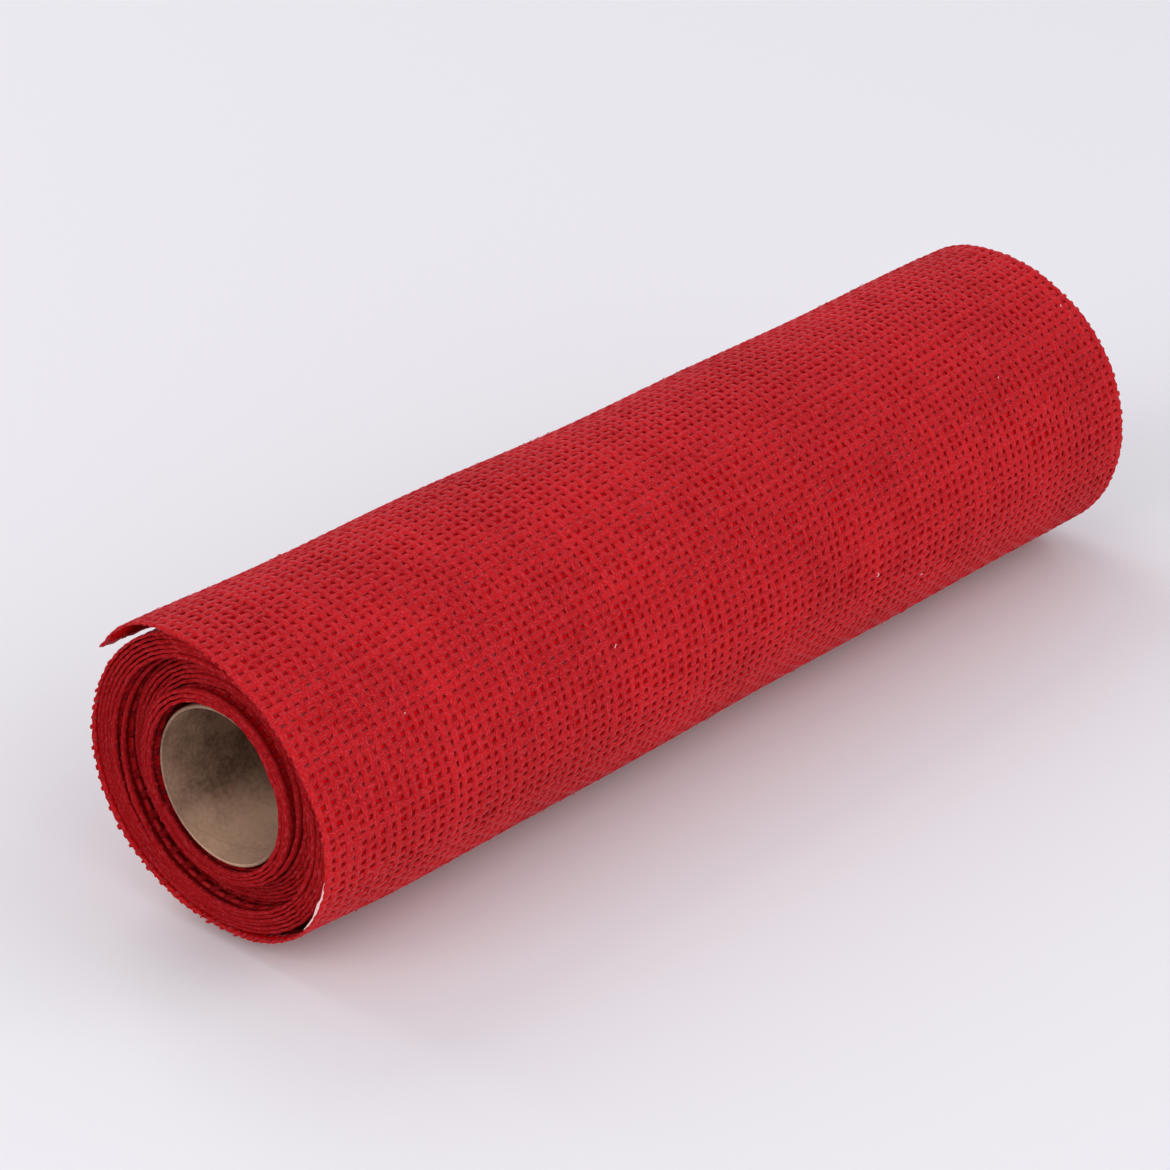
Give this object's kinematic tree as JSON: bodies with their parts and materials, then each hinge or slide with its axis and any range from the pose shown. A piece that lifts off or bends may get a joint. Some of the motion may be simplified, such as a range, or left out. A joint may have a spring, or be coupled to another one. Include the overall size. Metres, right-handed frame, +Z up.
{
  "type": "roll of jute table runner",
  "caption": "Length of plain-weave jute runner cloth wound on a cardboard tube, lying on its side with a loose last turn and a cut end that stands off the roll.",
  "frame": {"origin": "under the middle of the roll, on the surface that it lies on", "axes": "+X along the roll's axis, from the end with the slid-out loose turn to the other; +Z up; -Y towards the front of the roll"},
  "size_m": [0.2894, 0.0748, 0.0733],
  "materials": {
    "jute": "matte plain weave of flat jute yarns",
    "cardboard": "matte brown wound paper board"
  },
  "bodies": {
    "root": {"cloth_roll": "jute", "core_tube": "cardboard"}
  },
  "joints": []
}
